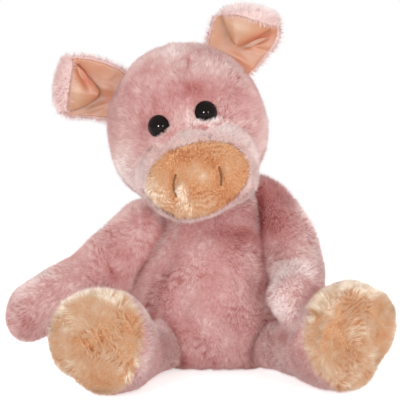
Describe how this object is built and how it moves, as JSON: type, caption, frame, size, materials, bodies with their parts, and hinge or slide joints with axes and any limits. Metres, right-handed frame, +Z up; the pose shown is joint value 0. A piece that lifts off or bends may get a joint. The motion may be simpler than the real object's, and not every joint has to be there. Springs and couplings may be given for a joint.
{
  "type": "plush pig",
  "caption": "Seated stuffed toy pig with a posable head, arms and legs, soft folded ears, a curled tail, glossy round eyes and a flat oval snout.",
  "frame": {"origin": "middle of the flat patch under the body that the pig sits on", "axes": "+Z up, -Y the way the pig looks, +X towards its own left side"},
  "size_m": [0.2027, 0.1423, 0.2016],
  "materials": {
    "body_plush": "short pink pile",
    "pale_plush": "short pale pink pile",
    "peach_plush": "short peach pile",
    "ear_satin": "peach satin weave",
    "fibre_fill": "loose white polyester fibre",
    "bag_cloth": "plain off-white cotton",
    "eye_plastic": "polished black",
    "washer_plastic": "moulded white",
    "pink_thread": "twisted pink thread",
    "peach_thread": "twisted peach thread"
  },
  "bodies": {
    "torso": {"torso_skin": "body_plush", "torso_stuffing": "fibre_fill", "pellet_bag": "bag_cloth", "closing_seam_thread": "pink_thread"},
    "neck": {"neck_stuffing": "fibre_fill"},
    "head": {"head_skin": "body_plush", "head_stuffing": "fibre_fill", "muzzle_band": "pale_plush", "muzzle_stuffing": "fibre_fill", "snout_pad": "peach_plush", "eye_right": "eye_plastic", "eye_left": "eye_plastic", "eye_washer_right": "washer_plastic", "eye_washer_left": "washer_plastic", "nostril_thread_right": "peach_thread", "nostril_thread_left": "peach_thread"},
    "ear_right": {"ear_back_right": "body_plush", "ear_lining_right": "ear_satin"},
    "ear_left": {"ear_back_left": "body_plush", "ear_lining_left": "ear_satin"},
    "arm_right": {"arm_skin_right": "body_plush", "arm_stuffing_right": "fibre_fill"},
    "arm_left": {"arm_skin_left": "body_plush", "arm_stuffing_left": "fibre_fill"},
    "leg_right": {"leg_skin_right": "body_plush", "leg_stuffing_right": "fibre_fill", "sole_right": "peach_plush"},
    "leg_left": {"leg_skin_left": "body_plush", "leg_stuffing_left": "fibre_fill", "sole_left": "peach_plush"},
    "tail": {"tail": "body_plush"}
  },
  "joints": [
    {"name": "neck_turn", "type": "hinge", "parent": "torso", "child": "neck", "pos_m": [-0.004, -0.005, 0.092], "axis": [-0.2509, -0.2151, 0.9438], "range_deg": [-40, 40]},
    {"name": "neck_nod", "type": "hinge", "parent": "neck", "child": "head", "pos_m": [-0.004, -0.005, 0.092], "axis": [-0.9563, 0.0083, -0.2924], "range_deg": [-20, 20]},
    {"name": "ear_right_flop", "type": "hinge", "parent": "head", "child": "ear_right", "pos_m": [-0.05209, -0.01167, 0.14825], "axis": [0.1564, -0.0014, 0.9877], "range_deg": [-15, 15], "stiffness_Nm_per_rad": 0.003},
    {"name": "ear_left_flop", "type": "hinge", "parent": "head", "child": "ear_left", "pos_m": [0.00734, -0.01219, 0.16642], "axis": [0.9397, -0.0082, -0.342], "range_deg": [-15, 15], "stiffness_Nm_per_rad": 0.003},
    {"name": "arm_right_swing", "type": "hinge", "parent": "torso", "child": "arm_right", "pos_m": [-0.0389, 0, 0.07471], "axis": [-1, 0, 0], "range_deg": [-45, 110]},
    {"name": "arm_left_swing", "type": "hinge", "parent": "torso", "child": "arm_left", "pos_m": [0.0345, 0.004, 0.08404], "axis": [-1, 0, 0], "range_deg": [0, 80]},
    {"name": "leg_right_swing", "type": "hinge", "parent": "torso", "child": "leg_right", "pos_m": [-0.028, -0.0225, 0.014], "axis": [-1, 0, 0], "range_deg": [-50, 20]},
    {"name": "leg_left_swing", "type": "hinge", "parent": "torso", "child": "leg_left", "pos_m": [0.028, -0.0225, 0.014], "axis": [-1, 0, 0], "range_deg": [-50, 5]},
    {"name": "tail_flop", "type": "hinge", "parent": "torso", "child": "tail", "pos_m": [0, 0.03569, 0.024], "axis": [-0.9898, 0.1426, 0], "range_deg": [-20, 20], "stiffness_Nm_per_rad": 0.0005}
  ]
}
